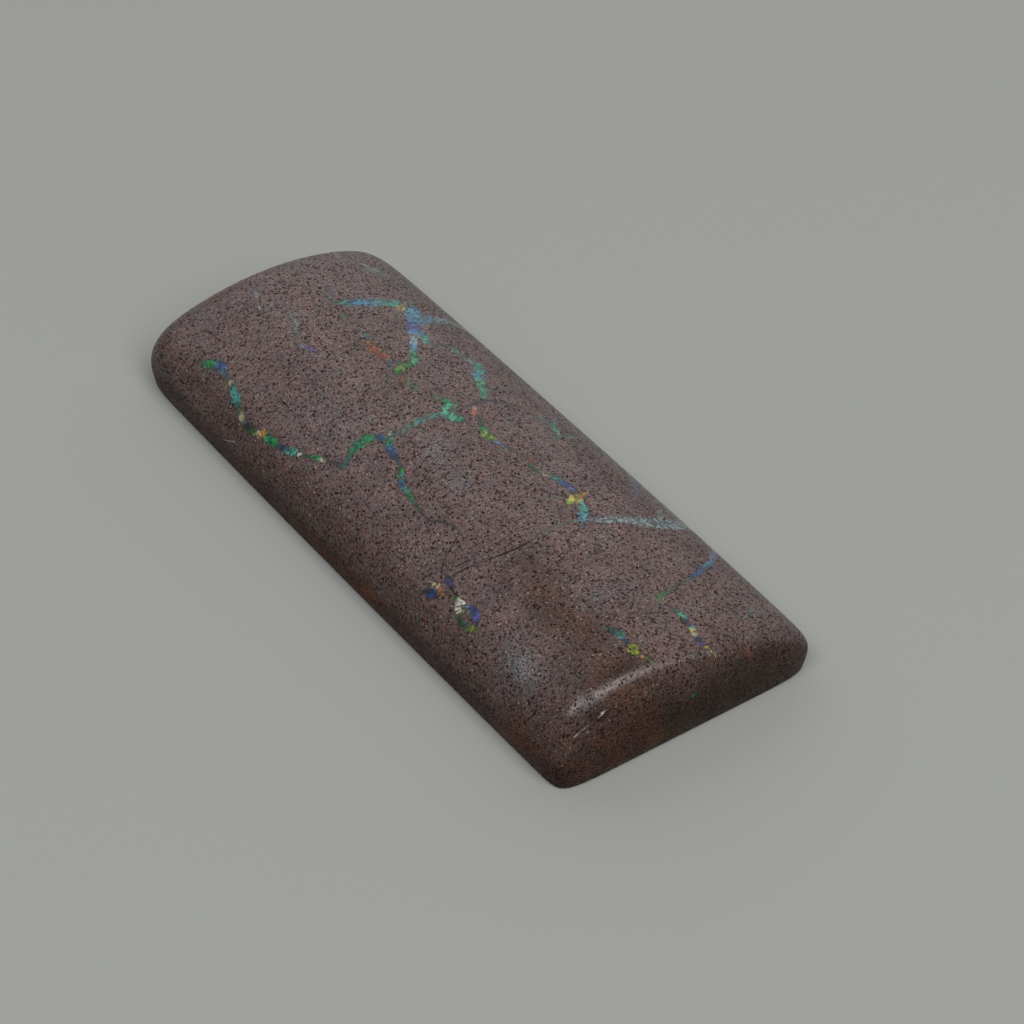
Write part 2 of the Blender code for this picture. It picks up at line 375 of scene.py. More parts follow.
        (7.46, -0.60, 0.07, "tealGrey"), (7.36, -1.20, 0.05, "smoke"), (7.38, -1.60, 0.03, "smoke"),
    ]},
    "backTeal": {"layer": 2, "strength": 0.75, "route": [
        (0.62, 5.05, 0.05, "paleViolet"), (0.82, 4.82, 0.10, "paleViolet"),
        (1.10, 4.56, 0.12, "teal"), (1.40, 4.36, 0.16, "teal"), (1.75, 4.26, 0.14, "seafoam"),
        (2.02, 4.18, 0.11, "pale"), (2.24, 3.96, 0.10, "tealGrey"), (2.42, 3.60, 0.10, "smoke"),
        (2.46, 3.20, 0.05, "smoke"),
    ]},
    "backTealFork": {"layer": 0, "strength": 0.5, "route": [
        (2.08, 4.20, 0.05, "sky"), (2.20, 4.50, 0.09, "sky"), (2.26, 4.90, 0.09, "pale"),
        (2.24, 5.30, 0.04, "pale"),
    ]},
    "backGreen": {"layer": 1, "strength": 0.5, "route": [
        (0.25, 4.38, 0.05, "paleGreen"), (0.55, 4.36, 0.12, "paleGreen"),
        (0.85, 4.30, 0.08, "seafoam"),
    ]},
    # painted sheen: a thin pale line along the back shoulder that stands in for reflected light
    "paintedSheenLine": {"layer": 2, "strength": 0.6, "route": [
        (2.20, 5.40, 0.03, "pale"), (3.20, 5.78, 0.05, "paleViolet"), (4.30, 5.98, 0.06, "pale"),
        (5.60, 6.06, 0.06, "paleViolet"), (7.00, 6.02, 0.07, "pale"), (8.20, 5.92, 0.08, "pale"),
        (8.80, 5.82, 0.05, "pale"),
    ]},
    "shoulderViolet": {"layer": 1, "strength": 0.5, "route": [
        (4.95, 5.90, 0.05, "paleViolet"), (5.50, 5.66, 0.14, "paleViolet"),
        (6.10, 5.34, 0.14, "paleViolet"), (6.65, 4.95, 0.12, "paleViolet"),
        (7.00, 4.55, 0.05, "paleViolet"),
    ]},
    "endStreak": {"layer": 0, "strength": 0.75, "route": [
        (10.20, 6.60, 0.05, "pale"), (10.60, 6.20, 0.09, "pale"), (11.05, 5.80, 0.10, "paleViolet"),
        (11.50, 5.34, 0.11, "paleViolet"), (11.86, 4.84, 0.11, "sky"), (12.10, 4.36, 0.12, "sky"),
        (12.32, 3.84, 0.12, "blue"), (12.54, 3.30, 0.12, "blue"), (12.66, 2.84, 0.06, "smoke"),
        (12.74, 2.30, 0.04, "dark"), (12.84, 1.80, 0.05, "moss"), (12.94, 1.35, 0.09, "leaf"),
        (13.04, 1.00, 0.12, "leaf"), (13.18, 0.82, 0.05, "moss"),
    ]},
    "endDashes": {"layer": 1, "strength": 1.0, "route": [
        (13.22, 1.04, 0.04, "cream"), (13.40, 1.00, 0.05, "rust"), (13.75, 1.02, 0.025, "dark"),
        (14.05, 1.10, 0.09, "tealDark"), (14.36, 1.16, 0.14, "seafoam"), (14.60, 1.08, 0.11, "ink"),
        (14.86, 1.10, 0.10, "navy"), (15.06, 1.12, 0.10, "teal"), (15.20, 1.04, 0.12, "straw"),
        (15.40, 0.93, 0.09, "cream"), (15.60, 0.90, 0.10, "navy"), (15.85, 0.88, 0.08, "violet"),
        (16.00, 0.94, 0.05, "ink"), (16.12, 1.02, 0.11, "straw"), (16.24, 1.08, 0.04, "straw"),
    ]},
    "cornerGreen": {"layer": 0, "strength": 1.0, "route": [
        (13.20, -1.98, 0.04, "deepGreen"), (13.42, -1.90, 0.12, "deepGreen"),
        (13.70, -1.78, 0.14, "tealDark"), (13.95, -1.74, 0.15, "teal"),
        (14.20, -1.80, 0.10, "navy"), (14.42, -1.84, 0.05, "ink"), (14.62, -1.78, 0.15, "acid"),
        (14.86, -1.80, 0.15, "acid"), (15.04, -1.84, 0.08, "acid"), (15.18, -1.78, 0.05, "peach"),
        (15.40, -1.62, 0.08, "moss"), (15.70, -1.48, 0.05, "moss"),
    ]},
    "frontBlueA": {"layer": 0, "strength": 1.0, "route": [
        (6.12, -4.95, 0.07, "ink"), (6.32, -5.00, 0.13, "navy"), (6.52, -5.02, 0.07, "navy"),
    ]},
    "frontWhiteA": {"layer": 1, "strength": 1.0, "route": [
        (5.82, -5.42, 0.05, "cream"), (6.04, -5.38, 0.10, "cream"), (6.24, -5.36, 0.06, "peach"),
        (6.46, -5.46, 0.08, "amber"), (6.62, -5.46, 0.04, "rust"),
    ]},
    "frontBlueB": {"layer": 2, "strength": 1.0, "route": [
        (5.72, -5.82, 0.05, "ink"), (5.96, -5.72, 0.16, "navy"), (6.20, -5.66, 0.14, "navy"),
        (6.34, -5.60, 0.05, "ink"),
    ]},
    "frontWhiteB": {"layer": 1, "strength": 1.0, "route": [
        (7.00, -5.22, 0.05, "moss"), (7.25, -5.28, 0.10, "moss"), (7.48, -5.26, 0.12, "white"),
        (7.66, -5.20, 0.08, "white"),
    ]},
    "frontWhiteC": {"layer": 0, "strength": 1.0, "route": [
        (7.48, -5.50, 0.05, "white"), (7.66, -5.48, 0.10, "white"), (7.90, -5.42, 0.08, "cream"),
        (8.06, -5.36, 0.03, "cream"),
    ]},
    "frontBlueC": {"layer": 2, "strength": 1.0, "route": [
        (7.96, -5.20, 0.05, "sky"), (8.16, -5.12, 0.11, "navy"), (8.42, -5.14, 0.14, "navy"),
        (8.68, -5.24, 0.14, "violet"), (8.90, -5.34, 0.06, "navy"),
    ]},
    "frontGreenC": {"layer": 1, "strength": 0.9, "route": [
        (7.85, -5.62, 0.05, "deepGreen"), (8.15, -5.70, 0.09, "deepGreen"),
        (8.45, -5.74, 0.10, "tealDark"), (8.74, -5.68, 0.07, "moss"), (8.98, -5.60, 0.12, "acid"),
        (9.14, -5.66, 0.05, "moss"),
    ]},
    "faintLeftA": {"layer": 0, "strength": 0.5, "route": [
        (-14.50, -1.36, 0.03, "smoke"), (-14.15, -1.55, 0.10, "paleViolet"),
        (-13.80, -1.72, 0.09, "pale"), (-13.52, -1.88, 0.08, "cream"),
        (-13.25, -2.02, 0.05, "smoke"), (-12.92, -2.14, 0.06, "white"),
    ]},
    "faintLeftB": {"layer": 1, "strength": 0.5, "route": [
        (-11.80, -1.22, 0.03, "moss"), (-11.50, -1.40, 0.09, "tealGrey"),
        (-11.10, -1.42, 0.08, "tealGrey"), (-10.75, -1.50, 0.10, "pale"),
        (-10.40, -1.70, 0.11, "pale"), (-10.05, -1.94, 0.06, "tealGrey"),
    ]},
    "faintLeftC": {"layer": 0, "strength": 0.5, "route": [
        (-9.60, -2.26, 0.06, "moss"), (-9.40, -2.22, 0.14, "tealGrey"),
        (-9.15, -2.10, 0.08, "paleViolet"), (-8.85, -1.98, 0.10, "violet"),
        (-8.50, -1.90, 0.06, "violet"), (-8.20, -1.92, 0.0, "violet"),
    ]},
    "faintLeftD": {"layer": 2, "strength": 0.35, "route": [
        (-11.90, 1.55, 0.05, "paleViolet"), (-11.66, 1.20, 0.12, "paleViolet"),
        (-11.40, 0.84, 0.10, "sky"), (-11.20, 0.60, 0.0, "sky"),
    ]},
    "greenFleckA": {"layer": 1, "strength": 0.6, "route": [
        (-9.95, 0.62, 0.06, "leaf"), (-9.72, 0.52, 0.12, "leaf"), (-9.45, 0.48, 0.05, "moss"),
    ]},
    "tealFleckA": {"layer": 1, "strength": 0.7, "route": [
        (-8.05, 0.60, 0.06, "teal"), (-7.82, 0.55, 0.15, "tealGrey"), (-7.62, 0.45, 0.05, "teal"),
    ]},
    "emberA": {"layer": 0, "strength": 0.9, "route": [
        (-7.50, 0.28, 0.10, "ember"), (-7.15, 0.30, 0.22, "ember"), (-6.76, 0.30, 0.22, "ember"),
        (-6.40, 0.26, 0.18, "rust"), (-6.10, 0.24, 0.24, "ember"), (-5.78, 0.18, 0.08, "rust"),
    ]},
    "blueFleckA": {"layer": 1, "strength": 0.5, "route": [
        (-5.85, 0.36, 0.05, "sky"), (-5.62, 0.30, 0.12, "sky"), (-5.42, 0.24, 0.04, "sky"),
    ]},
    "emberB": {"layer": 2, "strength": 0.6, "route": [
        (-4.60, 0.16, 0.08, "rust"), (-4.30, 0.14, 0.20, "ember"), (-3.92, 0.18, 0.18, "moss"),
        (-3.56, 0.18, 0.10, "leaf"), (-3.30, 0.16, 0.05, "leaf"),
    ]},
    "paleCorner": {"layer": 0, "strength": 0.5, "route": [
        (-15.05, 3.62, 0.05, "paleGreen"), (-14.70, 3.46, 0.12, "paleGreen"),
        (-14.30, 3.34, 0.05, "pale"),
    ]},
    "paleShoulder": {"layer": 1, "strength": 0.45, "route": [
        (-13.80, 4.05, 0.05, "pale"), (-13.40, 4.25, 0.20, "paleGreen"),
        (-12.90, 4.35, 0.22, "paleGreen"), (-12.45, 4.65, 0.20, "seafoam"),
        (-12.15, 5.00, 0.08, "pale"),
    ]},
    "endTealFleck": {"layer": 1, "strength": 0.5, "route": [
        (15.05, 4.55, 0.03, "teal"), (15.12, 4.30, 0.08, "teal"), (15.24, 4.05, 0.02, "teal"),
    ]},
    # On the front wall, as x and z
    "wallFleckA": {"face": "front", "layer": 0, "strength": 0.8, "route": [
        (6.02, 2.06, 0.04, "leaf"), (6.20, 2.00, 0.09, "leaf"), (6.36, 1.94, 0.03, "deepGreen"),
    ]},
    "wallFleckB": {"face": "front", "layer": 0, "strength": 0.6, "route": [
        (4.48, 1.24, 0.03, "leaf"), (4.62, 1.20, 0.08, "moss"), (4.76, 1.14, 0.03, "deepGreen"),
    ]},
    "wallScratch": {"face": "front", "layer": 1, "strength": 0.55, "route": [
        (-9.20, 1.34, 0.0, "pale"), (-8.90, 1.50, 0.035, "white"), (-8.56, 1.66, 0.03, "pale"),
        (-8.20, 1.84, 0.035, "white"), (-7.92, 1.96, 0.0, "pale"),
    ]},
    # On the square end, as y and z
    "endLine": {"face": "end", "layer": 1, "strength": 0.6, "route": [
        (-5.68, 2.70, 0.0, "white"), (-5.45, 2.83, 0.03, "white"), (-5.15, 2.98, 0.025, "cream"),
        (-4.86, 3.10, 0.0, "white"),
    ]},
    "endDot": {"face": "end", "layer": 2, "strength": 0.9, "route": [
        (-4.34, 3.31, 0.035, "white"), (-4.24, 3.36, 0.045, "white"), (-4.17, 3.39, 0.02, "white"),
    ]},
    "endGreenFleck": {"face": "end", "layer": 1, "strength": 0.8, "route": [
        (-0.08, 2.27, 0.03, "leaf"), (0.02, 2.30, 0.06, "leaf"), (0.12, 2.34, 0.03, "leaf"),
    ]},
}
# Cracks: x, y and half width in mm on the stone's plan
cracks = {
    "fall": {"layer": 0, "route": [
        (7.40, -1.50, 0.02), (7.40, -1.85, 0.045), (7.30, -2.30, 0.045), (7.14, -2.80, 0.035),
        (7.00, -3.20, 0.025), (6.76, -3.70, 0.02), (6.50, -4.20, 0.028), (6.32, -4.60, 0.028),
        (6.22, -4.90, 0.02),
    ]},
    "frontFork": {"layer": 1, "route": [
        (4.86, -3.30, 0.0), (5.02, -3.64, 0.02), (5.20, -4.10, 0.025), (5.42, -4.56, 0.025),
        (5.74, -4.92, 0.02), (6.00, -5.16, 0.0),
    ]},
    "frontLink": {"layer": 1, "route": [
        (6.55, -5.12, 0.03), (6.82, -5.14, 0.04), (7.10, -5.16, 0.03), (7.40, -5.08, 0.0),
    ]},
    "leftVein": {"layer": 1, "route": [
        (-7.86, -1.02, 0.0), (-7.76, -0.60, 0.02), (-7.55, -0.20, 0.02), (-7.50, 0.10, 0.0),
    ]},
    "leftLine": {"layer": 0, "route": [
        (-7.52, -1.50, 0.0), (-7.50, -1.00, 0.018), (-7.48, -0.50, 0.018), (-7.45, 0.05, 0.0),
    ]},
}
# How seams and cracks are laid on the stone
lineFinish = {
    "gamma": 2.2,  # from a seen colour to the light it gives
    "light": 0.72,  # albedo for a seen colour
    "step": 0.12,  # mm between a route's worked points
    "search": 1.2,  # mm round a route within which places are measured
    "reach": 0.55,  # mm from a line at which its width has faded out
    "fade": 0.15,  # mm over which it fades
    "far": 9.0,  # mm, where no line is near
    "layers": 3,
    "facing": 0.15,  # a seam lies where the surface faces its side more than this
    "facingFade": 0.15,
    "crackFacing": 0.2,  # cracks lie where it faces up more than this
    "faces": {  # the two axes that a route is given in, and the side's direction
        "top": {"axes": (0, 1), "direction": (0, 0, 1)},
        "front": {"axes": (0, 2), "direction": (0, -1, 0)},
        "end": {"axes": (1, 2), "direction": (1, 0, 0)},
    },
}


def linear(tone):
    return [(part / 255) ** lineFinish["gamma"] for part in tone]


# A smooth line through the given points, with the other columns run straight between them
def workedRoute(points):
    points = np.array(points, float)
    before = np.vstack([2 * points[:1] - points[1:2], points[:-1]])
    after = np.vstack([points[1:], 2 * points[-1:] - points[-2:-1]])
    made = []
    for index in range(len(points) - 1):
        start, end = points[index], points[index + 1]
        leave = (after[index] - before[index]) / 2
        arrive = (after[index + 1] - before[index + 1]) / 2
        count = max(2, math.ceil(math.dist(start[:2], end[:2]) / lineFinish["step"]))
        for share in np.arange(count) / count:
            row = start + (end - start) * share
            s2, s3 = share**2, share**3
            row[:2] = ((2 * s3 - 3 * s2 + 1) * start + (s3 - 2 * s2 + share) * leave
                       + (3 * s2 - 2 * s3) * end + (s3 - s2) * arrive)[:2]
            made.append(row)
    made.append(points[-1])
    return np.array(made)


# For each place: signed distance from the nearest stretch, plain distance, and the route's
# other columns there
def measureFrom(route, places):
    starts, ends = route[:-1], route[1:]
    along = ends[:, :2] - starts[:, :2]
    length = np.maximum((along**2).sum(1), 1e-12)
    offset = places[:, None, :] - starts[None, :, :2]
    share = np.clip((offset * along).sum(2) / length, 0, 1)
    apart = offset - share[..., None] * along
    distance = np.sqrt((apart**2).sum(2))
    nearest = distance.argmin(1)
    rows = np.arange(len(places))
    step, reach = along[nearest], offset[rows, nearest]
    side = step[:, 0] * reach[:, 1] - step[:, 1] * reach[:, 0]
    share = share[rows, nearest][:, None]
    other = starts[nearest, 2:] * (1 - share) + ends[nearest, 2:] * share
    distance = distance[rows, nearest]
    return np.where(side < 0, -distance, distance), distance, other


def writeAttribute(piece, name, kind, values):
    attribute = piece.data.attributes.new(name, kind, "POINT")
    field = "color" if kind == "FLOAT_COLOR" else "vector"
    attribute.data.foreach_set(field, values.astype(np.float32).ravel())


def readStone(piece):
    count = len(piece.data.vertices)
    places = np.empty(count * 3)
    piece.data.vertices.foreach_get("co", places)
    normals = np.empty(count * 3)
    piece.data.vertices.foreach_get("normal", normals)
    return places.reshape(-1, 3) / mm, normals.reshape(-1, 3)


def emptyLayers(count):
    shape = (count, lineFinish["layers"])
    far = lineFinish["far"]
    return {"across": np.full(shape, far), "width": np.zeros(shape), "nearest": np.full(shape, far)}


# Writes one line into its layer, where no other line of that layer is nearer
def layLine(layers, layer, route, flat, facing):
    margin = lineFinish["search"]
    low, high = route[:, :2].min(0) - margin, route[:, :2].max(0) + margin
    near = np.flatnonzero(((flat > low) & (flat < high)).all(1) & (facing > 0))
    signed, distance, other = measureFrom(route, flat[near])
    wins = distance < layers["nearest"][near, layer]
    rows = near[wins]
    fade = np.clip((lineFinish["reach"] - distance[wins]) / lineFinish["fade"], 0, 1)
    layers["nearest"][rows, layer] = distance[wins]
    layers["across"][rows, layer] = signed[wins]
    layers["width"][rows, layer] = other[wins, 0] * fade * facing[rows]
    return near, distance, other


# Lays the seams on the stone: how far each point is from the seam's line, how wide the seam is
# there, and its tone
def laySeams(piece):
    places, normals = readStone(piece)
    layers = emptyLayers(len(places))
    tone = np.zeros((len(places), 4))
    closest = np.full(len(places), lineFinish["far"])
    for seam in seams.values():
        points = [(x, y, width, *linear(tones[name])) for x, y, width, name in seam["route"]]
        face = lineFinish["faces"][seam.get("face", "top")]
        facing = (normals @ face["direction"] - lineFinish["facing"]) / lineFinish["facingFade"]
        near, distance, other = layLine(layers, seam["layer"], workedRoute(points),
                                        places[:, face["axes"]], np.clip(facing, 0, 1))
        edge = distance - other[:, 0]
        wins = edge < closest[near]
        rows = near[wins]
        closest[rows] = edge[wins]
        tone[rows, :3] = other[wins, 1:4]
        tone[rows, 3] = seam["strength"]
    writeAttribute(piece, "seamAcross", "FLOAT_VECTOR", layers["across"])
    writeAttribute(piece, "seamWidth", "FLOAT_VECTOR", layers["width"])
    writeAttribute(piece, "seamTone", "FLOAT_COLOR", tone)


def layCracks(piece):
    places, normals = readStone(piece)
    layers = emptyLayers(len(places))
    facing = (normals[:, 2] > lineFinish["crackFacing"]).astype(float)
    for crack in cracks.values():
        layLine(layers, crack["layer"], workedRoute(crack["route"]), places[:, :2], facing)
    writeAttribute(piece, "crackAcross", "FLOAT_VECTOR", layers["across"])
    writeAttribute(piece, "crackWidth", "FLOAT_VECTOR", layers["width"])


# Soft zones of the ironstone's own colour, some of them painted sheen and painted shade: middle and
# reach in mm, tone, share
groundZones = [
    {"at": (11.6, -2.9, 4.4), "reach": (3.4, 1.1, 2.0), "tone": "umberAndPaintedShade", "share": 0.75},
    {"at": (8.6, -2.2, 4.8), "reach": (1.1, 0.6, 2.0), "tone": "umberAndPaintedShade", "share": 0.7},
    {"at": (12.5, -1.5, 4.6), "reach": (5.0, 4.0, 3.0), "tone": "rusty", "share": 0.12},
    {"at": (11.2, -2.7, 4.4), "reach": (2.2, 0.7, 2.0), "tone": "rusty", "share": 0.35},
    {"at": (14.8, -3.3, 4.2), "reach": (0.9, 0.8, 0.8), "tone": "rusty", "share": 0.55},
    {"at": (12.4, -2.5, 4.6), "reach": (0.6, 0.4, 1.0), "tone": "rusty", "share": 0.5},
    {"at": (9.4, 2.5, 4.6), "reach": (0.7, 0.4, 1.0), "tone": "rusty", "share": 0.45},
    {"at": (12.2, 2.5, 4.5), "reach": (0.4, 0.3, 1.0), "tone": "rusty", "share": 0.4},
    {"at": (15.35, -2.85, 4.2), "reach": (0.50, 0.90, 1.2), "tone": "barkAndPaintedShade", "share": 1.0},
    # painted sheen: a bluish-grey patch that stands in for reflected light on the front-left corner
    {"at": (12.1, -5.4, 3.2), "reach": (1.2, 0.7, 0.8), "tone": "paintedSheen", "share": 0.95},
    {"at": (14.6, -4.6, 3.6), "reach": (1.6, 1.6, 0.9), "tone": "umberAndPaintedShade", "share": 0.55},
    # painted sheen: the next five zones lay bluish-grey patches that stand in for reflected light
    # on the polish
    {"at": (11.5, -1.2, 4.8), "reach": (0.8, 1.2, 1.0), "tone": "paintedSheen", "share": 0.35},
    {"at": (0.4, -1.3, 4.8), "reach": (0.8, 0.7, 1.0), "tone": "paintedSheen", "share": 0.5},
    {"at": (2.4, -1.9, 4.8), "reach": (0.8, 0.7, 1.0), "tone": "paintedSheen", "share": 0.4},
    {"at": (-15.0, -4.2, 3.2), "reach": (1.4, 0.6, 1.0), "tone": "paintedSheen", "share": 0.35},
    {"at": (-4.5, -3.6, 4.2), "reach": (2.6, 1.1, 1.5), "tone": "paintedSheen", "share": 0.25},
    # The front wall
    {"at": (0.0, -7.6, 0.8), "reach": (19.0, 1.6, 2.1), "tone": "umberAndPaintedShade", "share": 1.0},
    {"at": (-1.0, -6.8, 2.8), "reach": (15.0, 1.2, 1.3), "tone": "umberAndPaintedShade", "share": 0.3},
    {"at": (1.9, -6.7, 0.8), "reach": (2.1, 1.2, 0.55), "tone": "rusty", "share": 0.85},
    {"at": (3.2, -6.7, 1.1), "reach": (0.7, 1.2, 0.25), "tone": "ochre", "share": 0.6},
    {"at": (-1.3, -6.7, 0.7), "reach": (1.6, 1.2, 0.35), "tone": "rusty", "share": 0.5},
    {"at": (14.0, -6.4, 1.3), "reach": (1.6, 1.2, 0.8), "tone": "rusty", "share": 0.75},
    {"at": (13.5, -6.4, 2.0), "reach": (0.4, 1.2, 0.25), "tone": "ochre", "share": 0.6},
    {"at": (-13.4, -6.4, 1.3), "reach": (1.3, 1.2, 0.5), "tone": "slateAndPaintedShade", "share": 0.5},
    {"at": (9.5, -6.6, 0.9), "reach": (1.6, 1.2, 0.6), "tone": "slateAndPaintedShade", "share": 0.4},
    # The square end's face
    {"at": (17.3, 0.5, 1.3), "reach": (1.3, 9.0, 2.7), "tone": "umberAndPaintedShade", "share": 1.0},
    # painted shadow: darkens the square end's face towards its foot, standing in for shadow by the
    # floor
    {"at": (17.4, 1.0, 0.8), "reach": (1.2, 3.6, 2.4), "tone": "slateAndPaintedShade", "share": 0.8},
    {"at": (17.0, -3.0, 2.4), "reach": (1.4, 1.9, 1.6), "tone": "rusty", "share": 0.6},
    {"at": (16.8, -4.1, 0.9), "reach": (1.2, 1.0, 0.4), "tone": "rusty", "share": 0.75},
    {"at": (17.0, -1.7, 0.8), "reach": (1.2, 0.7, 0.5), "tone": "ochre", "share": 0.45},
    # painted shade: darkens the low corner where the front wall meets the square end
    {"at": (16.4, -6.6, 0.8), "reach": (2.0, 2.2, 2.3), "tone": "umberAndPaintedShade", "share": 0.95},
    {"at": (17.0, -3.6, 2.3), "reach": (1.3, 2.6, 1.4), "tone": "umberAndPaintedShade", "share": 0.9},
    # painted shade: a dark patch on the square end's front ridge, below the highlight, standing in
    # for shade
    {"at": (15.95, -4.3, 3.35), "reach": (0.60, 0.85, 0.34), "tone": "barkAndPaintedShade", "share": 1.0},
    {"at": (16.4, -2.9, 3.7), "reach": (1.2, 0.9, 0.45), "tone": "ochre", "share": 0.35},
    {"at": (16.8, -4.5, 2.2), "reach": (1.2, 0.5, 0.3), "tone": "rusty", "share": 0.6},
    {"at": (17.0, -1.1, 1.9), "reach": (1.2, 0.4, 1.4), "tone": "slateAndPaintedShade", "share": 0.8},
    {"at": (16.9, 2.85, 3.2), "reach": (0.6, 0.12, 0.3), "tone": "red", "share": 0.8},
]
groundTones = {
    "mauve": (0.091, 0.060, 0.058),
    # dark brown of the top patches and the walls, and painted shade in the low corner of the square
    # end
    "umberAndPaintedShade": (0.031, 0.016, 0.011),
    "rusty": (0.076, 0.019, 0.007),
    "ochre": (0.100, 0.036, 0.010),
    # painted sheen: a bluish grey standing in for reflected light
    "paintedSheen": (0.108, 0.112, 0.126),
    # dark greenish grey: the stone's own at some places, and a painted shadow along the square
    # end's foot
    "slateAndPaintedShade": (0.016, 0.015, 0.011),
    "red": (0.160, 0.035, 0.030),
    # dark brown: a real dark mark on the top, and painted shade on the square end's ridge
    "barkAndPaintedShade": (0.020, 0.008, 0.005),
    "sawn": (0.074, 0.045, 0.036),
}
# By the z of the surface's direction
groundFinish = {
    "underside": -0.5,  # sawn below this
    "sidePolish": 0.2,  # share of the polish that the sides have
    "polishFrom": 0.05,  # where it starts to grow
    "polishOver": 0.4,
}


def tintGround(piece):
    places, normals = readStone(piece)
    finish = groundFinish
    upward = normals[:, 2]
    tint = np.ones((len(places), 4))
    tint[:, :3] = groundTones["mauve"]
    for zone in groundZones:
        offset = (places - zone["at"]) / zone["reach"]
        share = zone["share"] * np.exp(-(offset**2).sum(1))
        tint[:, :3] += share[:, None] * (np.array(groundTones[zone["tone"]]) - tint[:, :3])
    tint[upward < finish["underside"], :3] = groundTones["sawn"]
    grown = np.clip((upward - finish["polishFrom"]) / finish["polishOver"], 0, 1)
    tint[:, 3] = finish["sidePolish"] + (1 - finish["sidePolish"]) * grown
    writeAttribute(piece, "groundTint", "FLOAT_COLOR", tint)


# Shader building
def newGroup(name, inputs, outputs):
    group = bpy.data.node_groups.new(name, "ShaderNodeTree")
    for direction, sockets in (("INPUT", inputs), ("OUTPUT", outputs)):
        for socketName, kind, *default in sockets:
            socket = group.interface.new_socket(
                socketName, in_out=direction, socket_type="NodeSocket" + kind)
            if default:
                socket.default_value = default[0]
    given = group.nodes.new("NodeGroupInput").outputs
    wanted = group.nodes.new("NodeGroupOutput").inputs
    return group, given, wanted


def place(tree, kind, inputs=None, **settings):
    node = tree.nodes.new("ShaderNode" + kind)
    for name, value in settings.items():
        setattr(node, name, value)
    for name, value in (inputs or {}).items():
        feed(tree, value, node.inputs[name])
    return node


def feed(tree, value, socket):
    if isinstance(value, bpy.types.NodeSocket):
        tree.links.new(value, socket)
    else:
        socket.default_value = value


def maths(tree, operation, *values, clamp=False):
    node = place(tree, "Math", operation=operation, use_clamp=clamp)
    for socket, value in zip(node.inputs, values):
        feed(tree, value, socket)
    return node.outputs[0]


def ramp(tree, value, start, end, low=0.0, high=1.0):
    inputs = {"Value": value, "From Min": start, "From Max": end, "To Min": low, "To Max": high}
    return place(tree, "MapRange", inputs, interpolation_type="SMOOTHSTEP").outputs["Result"]


def blend(tree, share, first, second, way="MIX"):
    node = place(tree, "Mix", data_type="RGBA", blend_type=way, clamp_factor=True)
    feed(tree, share, node.inputs[0])
    feed(tree, first, node.inputs[6])
    feed(tree, second, node.inputs[7])
    return node.outputs[2]


grainForm = {
    "detail": 1.0,  # of the noise that makes a grain ragged
    "sizes": (0.6, 1.25),  # smallest and largest grain, as shares of the radius
    "depths": (0.25, 1.0),  # faintest and strongest grain
    "edge": 0.07,  # softness, as a share of the grain size
}


# Grains scattered through the stone, at a size in mm
def grainGroup():
    group, given, wanted = newGroup("mineralGrain", [
        ("Place", "Vector"),
        ("Grain Size", "Float", 0.2),
        ("Radius", "Float", 0.4),
        ("Ragged", "Float", 0.3),
    ], [("Mask", "Float")])
    form = grainForm
    scale = maths(group, "DIVIDE", 1 / mm, given["Grain Size"])
    inputs = {"Vector": given["Place"], "Scale": scale, "Detail": form["detail"]}
    wobble = place(group, "TexNoise", inputs).outputs["Color"]
    inputs = {0: wobble, 1: (0.5, 0.5, 0.5)}
    shift = place(group, "VectorMath", inputs, operation="SUBTRACT").outputs[0]
    ragged = maths(group, "MULTIPLY", given["Ragged"], 2 * mm)
    reach = maths(group, "MULTIPLY", given["Grain Size"], ragged)
    moved = place(group, "VectorMath", {0: shift, "Scale": reach}, operation="SCALE").outputs[0]
    at = place(group, "VectorMath", {0: given["Place"], 1: moved}, operation="ADD").outputs[0]
    cells = place(group, "TexVoronoi", {"Vector": at, "Scale": scale, "Randomness": 1.0})
    draw = place(group, "SeparateColor", {"Color": cells.outputs["Color"]}).outputs
    size = ramp(group, draw[0], 0.0, 1.0, *form["sizes"])
    size = maths(group, "MULTIPLY", size, given["Radius"])
    inside = maths(group, "SUBTRACT", size, cells.outputs["Distance"])
    inside = ramp(group, inside, -form["edge"], form["edge"])
    depth = ramp(group, draw[1], 0.0, 1.0, *form["depths"])
    feed(group, maths(group, "MULTIPLY", inside, depth), wanted["Mask"])
    return group


bandForm = {
    "rim": 0.09,  # mm beside a band that its rim reaches
    "thinnest": 0.012,  # mm, the half width below which a band fades out
}


# A band of given half width about a seam's line
def bandGroup():
    group, given, wanted = newGroup("seamBand", [
        ("Across", "Float"),
        ("Half Width", "Float"),
        ("Wander", "Float"),
        ("Softness", "Float", 0.02),
    ], [("Mask", "Float"), ("Rim", "Float")])
    wander = maths(group, "ADD", given["Wander"], 1.0)
    width = maths(group, "MULTIPLY", given["Half Width"], wander)
    inside = maths(group, "SUBTRACT", width, maths(group, "ABSOLUTE", given["Across"]))
    softened = maths(group, "DIVIDE", inside, given["Softness"])
    band = maths(group, "ADD", softened, 0.5, clamp=True)
    there = maths(group, "DIVIDE", given["Half Width"], bandForm["thinnest"], clamp=True)
    feed(group, maths(group, "MULTIPLY", band, there), wanted["Mask"])
    around = ramp(group, inside, -bandForm["rim"], 0.0)
    feed(group, maths(group, "MULTIPLY", around, there), wanted["Rim"])
    return group


opalPlay = {
    "fleck": 0.13,  # mm
    "hues": 0.085,  # span of the turn, as a share of the colour circle
    "values": (0.25, 1.65),  # darkest and brightest fleck
    "saturation": 1.08,
}


